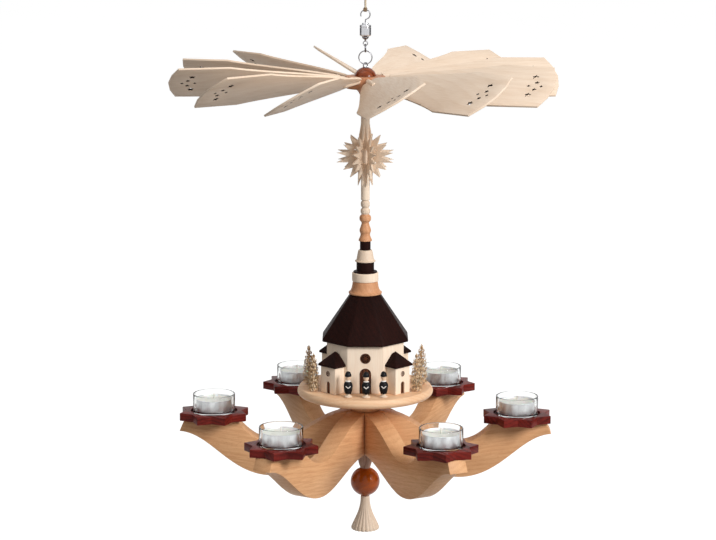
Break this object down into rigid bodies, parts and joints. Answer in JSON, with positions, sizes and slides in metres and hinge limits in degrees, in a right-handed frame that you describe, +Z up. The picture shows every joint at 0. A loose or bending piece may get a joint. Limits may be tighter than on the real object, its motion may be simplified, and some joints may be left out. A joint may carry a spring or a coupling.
{
  "type": "hanging christmas pyramid",
  "caption": "Hanging wooden candle carousel: a fan wheel, star spindle and small church on a disc above curved arms with tealights in glasses, all turning on a swivel.",
  "frame": {"origin": "the inner top of the wire hook's bend, where the twine holds the whole pyramid up", "axes": "+Z is up along the turning axis; -Y is the side with the church door and the three figures; +X is to the right seen from there"},
  "size_m": [0.3958, 0.3958, 0.5902],
  "materials": {
    "twine": "natural twisted twine",
    "plated_steel": "bright nickel plate",
    "dark_stained_cap": "dark brown stain under gloss lacquer",
    "pale_wood": "natural, sanded",
    "beech": "natural beech, sanded",
    "roof_stain": "dark brown stain, matt",
    "red_stain": "dark red stain, satin lacquer",
    "amber_lacquer": "amber brown stain under gloss lacquer",
    "black_lacquer": "black lacquer",
    "shaving": "natural curled shavings",
    "candle_cup": "thin pressed aluminium holding white wax",
    "clear_glass": "clear, polished"
  },
  "bodies": {
    "hanger": {"twine": "twine", "wire_hook": "plated_steel", "swivel_barrel": "plated_steel"},
    "swivel_eye": {"swivel_eye": "plated_steel"},
    "link_ring": {"link_ring": "plated_steel"},
    "hanging_ring": {"hanging_ring": "plated_steel"},
    "pyramid": {"screw_eye": "plated_steel", "hub_cap": "dark_stained_cap", "fan_hub": "pale_wood", "star_spindle": "pale_wood", "baluster": "pale_wood", "spire_base": "pale_wood", "church_roof": "roof_stain", "church_walls": "pale_wood", "disc": "pale_wood", "figure_1": "black_lacquer", "figure_2": "black_lacquer", "figure_3": "black_lacquer", "tree_1": "shaving", "tree_2": "shaving", "tree_3": "shaving", "tree_4": "shaving", "arm_1": "beech", "arm_2": "beech", "arm_3": "beech", "arm_4": "beech", "arm_5": "beech", "arm_6": "beech", "star_holder_1": "red_stain", "star_holder_2": "red_stain", "star_holder_3": "red_stain", "star_holder_4": "red_stain", "star_holder_5": "red_stain", "star_holder_6": "red_stain", "drop_ball": "amber_lacquer", "tassel": "pale_wood"},
    "blade_01": {"blade_01": "pale_wood"},
    "blade_02": {"blade_02": "pale_wood"},
    "blade_03": {"blade_03": "pale_wood"},
    "blade_04": {"blade_04": "pale_wood"},
    "blade_05": {"blade_05": "pale_wood"},
    "blade_06": {"blade_06": "pale_wood"},
    "blade_07": {"blade_07": "pale_wood"},
    "blade_08": {"blade_08": "pale_wood"},
    "blade_09": {"blade_09": "pale_wood"},
    "blade_10": {"blade_10": "pale_wood"},
    "blade_11": {"blade_11": "pale_wood"},
    "blade_12": {"blade_12": "pale_wood"},
    "glass_1": {"glass_1": "clear_glass"},
    "tealight_1": {"tealight_1": "candle_cup"},
    "glass_2": {"glass_2": "clear_glass"},
    "tealight_2": {"tealight_2": "candle_cup"},
    "glass_3": {"glass_3": "clear_glass"},
    "tealight_3": {"tealight_3": "candle_cup"},
    "glass_4": {"glass_4": "clear_glass"},
    "tealight_4": {"tealight_4": "candle_cup"},
    "glass_5": {"glass_5": "clear_glass"},
    "tealight_5": {"tealight_5": "candle_cup"},
    "glass_6": {"glass_6": "clear_glass"},
    "tealight_6": {"tealight_6": "candle_cup"}
  },
  "joints": [
    {"name": "swivel_turn", "type": "hinge", "parent": "hanger", "child": "swivel_eye", "pos_m": [0, 0, -0.026], "axis": [0, 0, 1], "continuous": true},
    {"name": "link_swing", "type": "hinge", "parent": "swivel_eye", "child": "link_ring", "pos_m": [0, 0, -0.0356], "axis": [1, 0, 0], "range_deg": [-35, 35]},
    {"name": "ring_swing", "type": "hinge", "parent": "link_ring", "child": "hanging_ring", "pos_m": [0, 0, -0.04212], "axis": [0, 1, 0], "range_deg": [-25, 25]},
    {"name": "pyramid_swing", "type": "hinge", "parent": "hanging_ring", "child": "pyramid", "pos_m": [0, 0, -0.05422], "axis": [1, 0, 0], "range_deg": [-12, 12]},
    {"name": "blade_pitch_01", "type": "hinge", "parent": "pyramid", "child": "blade_01", "pos_m": [0.02008, 0.00297, -0.07017], "axis": [0.9893, 0.1461, 0], "range_deg": [-15, 35]},
    {"name": "blade_pitch_02", "type": "hinge", "parent": "pyramid", "child": "blade_02", "pos_m": [0.01591, 0.01261, -0.07017], "axis": [0.7837, 0.6211, 0], "range_deg": [-15, 35]},
    {"name": "blade_pitch_03", "type": "hinge", "parent": "pyramid", "child": "blade_03", "pos_m": [0.00747, 0.01887, -0.07017], "axis": [0.3681, 0.9298, 0], "range_deg": [-15, 35]},
    {"name": "blade_pitch_04", "type": "hinge", "parent": "pyramid", "child": "blade_04", "pos_m": [-0.00297, 0.02008, -0.07017], "axis": [-0.1461, 0.9893, 0], "range_deg": [-15, 35]},
    {"name": "blade_pitch_05", "type": "hinge", "parent": "pyramid", "child": "blade_05", "pos_m": [-0.01261, 0.01591, -0.07017], "axis": [-0.6211, 0.7837, 0], "range_deg": [-15, 35]},
    {"name": "blade_pitch_06", "type": "hinge", "parent": "pyramid", "child": "blade_06", "pos_m": [-0.01887, 0.00747, -0.07017], "axis": [-0.9298, 0.3681, 0], "range_deg": [-15, 35]},
    {"name": "blade_pitch_07", "type": "hinge", "parent": "pyramid", "child": "blade_07", "pos_m": [-0.02008, -0.00297, -0.07017], "axis": [-0.9893, -0.1461, 0], "range_deg": [-15, 35]},
    {"name": "blade_pitch_08", "type": "hinge", "parent": "pyramid", "child": "blade_08", "pos_m": [-0.01591, -0.01261, -0.07017], "axis": [-0.7837, -0.6211, 0], "range_deg": [-15, 35]},
    {"name": "blade_pitch_09", "type": "hinge", "parent": "pyramid", "child": "blade_09", "pos_m": [-0.00747, -0.01887, -0.07017], "axis": [-0.3681, -0.9298, 0], "range_deg": [-15, 35]},
    {"name": "blade_pitch_10", "type": "hinge", "parent": "pyramid", "child": "blade_10", "pos_m": [0.00297, -0.02008, -0.07017], "axis": [0.1461, -0.9893, 0], "range_deg": [-15, 35]},
    {"name": "blade_pitch_11", "type": "hinge", "parent": "pyramid", "child": "blade_11", "pos_m": [0.01261, -0.01591, -0.07017], "axis": [0.6211, -0.7837, 0], "range_deg": [-15, 35]},
    {"name": "blade_pitch_12", "type": "hinge", "parent": "pyramid", "child": "blade_12", "pos_m": [0.01887, -0.00747, -0.07017], "axis": [0.9298, -0.3681, 0], "range_deg": [-15, 35]},
    {"name": "glass_lift_1", "type": "slide", "parent": "pyramid", "child": "glass_1", "axis": [0, 0, 1], "range_m": [0, 0.05]},
    {"name": "tealight_lift_1", "type": "slide", "parent": "glass_1", "child": "tealight_1", "axis": [0, 0, 1], "range_m": [0, 0.035]},
    {"name": "glass_lift_2", "type": "slide", "parent": "pyramid", "child": "glass_2", "axis": [0, 0, 1], "range_m": [0, 0.05]},
    {"name": "tealight_lift_2", "type": "slide", "parent": "glass_2", "child": "tealight_2", "axis": [0, 0, 1], "range_m": [0, 0.035]},
    {"name": "glass_lift_3", "type": "slide", "parent": "pyramid", "child": "glass_3", "axis": [0, 0, 1], "range_m": [0, 0.05]},
    {"name": "tealight_lift_3", "type": "slide", "parent": "glass_3", "child": "tealight_3", "axis": [0, 0, 1], "range_m": [0, 0.035]},
    {"name": "glass_lift_4", "type": "slide", "parent": "pyramid", "child": "glass_4", "axis": [0, 0, 1], "range_m": [0, 0.05]},
    {"name": "tealight_lift_4", "type": "slide", "parent": "glass_4", "child": "tealight_4", "axis": [0, 0, 1], "range_m": [0, 0.035]},
    {"name": "glass_lift_5", "type": "slide", "parent": "pyramid", "child": "glass_5", "axis": [0, 0, 1], "range_m": [0, 0.05]},
    {"name": "tealight_lift_5", "type": "slide", "parent": "glass_5", "child": "tealight_5", "axis": [0, 0, 1], "range_m": [0, 0.035]},
    {"name": "glass_lift_6", "type": "slide", "parent": "pyramid", "child": "glass_6", "axis": [0, 0, 1], "range_m": [0, 0.05]},
    {"name": "tealight_lift_6", "type": "slide", "parent": "glass_6", "child": "tealight_6", "axis": [0, 0, 1], "range_m": [0, 0.035]}
  ]
}
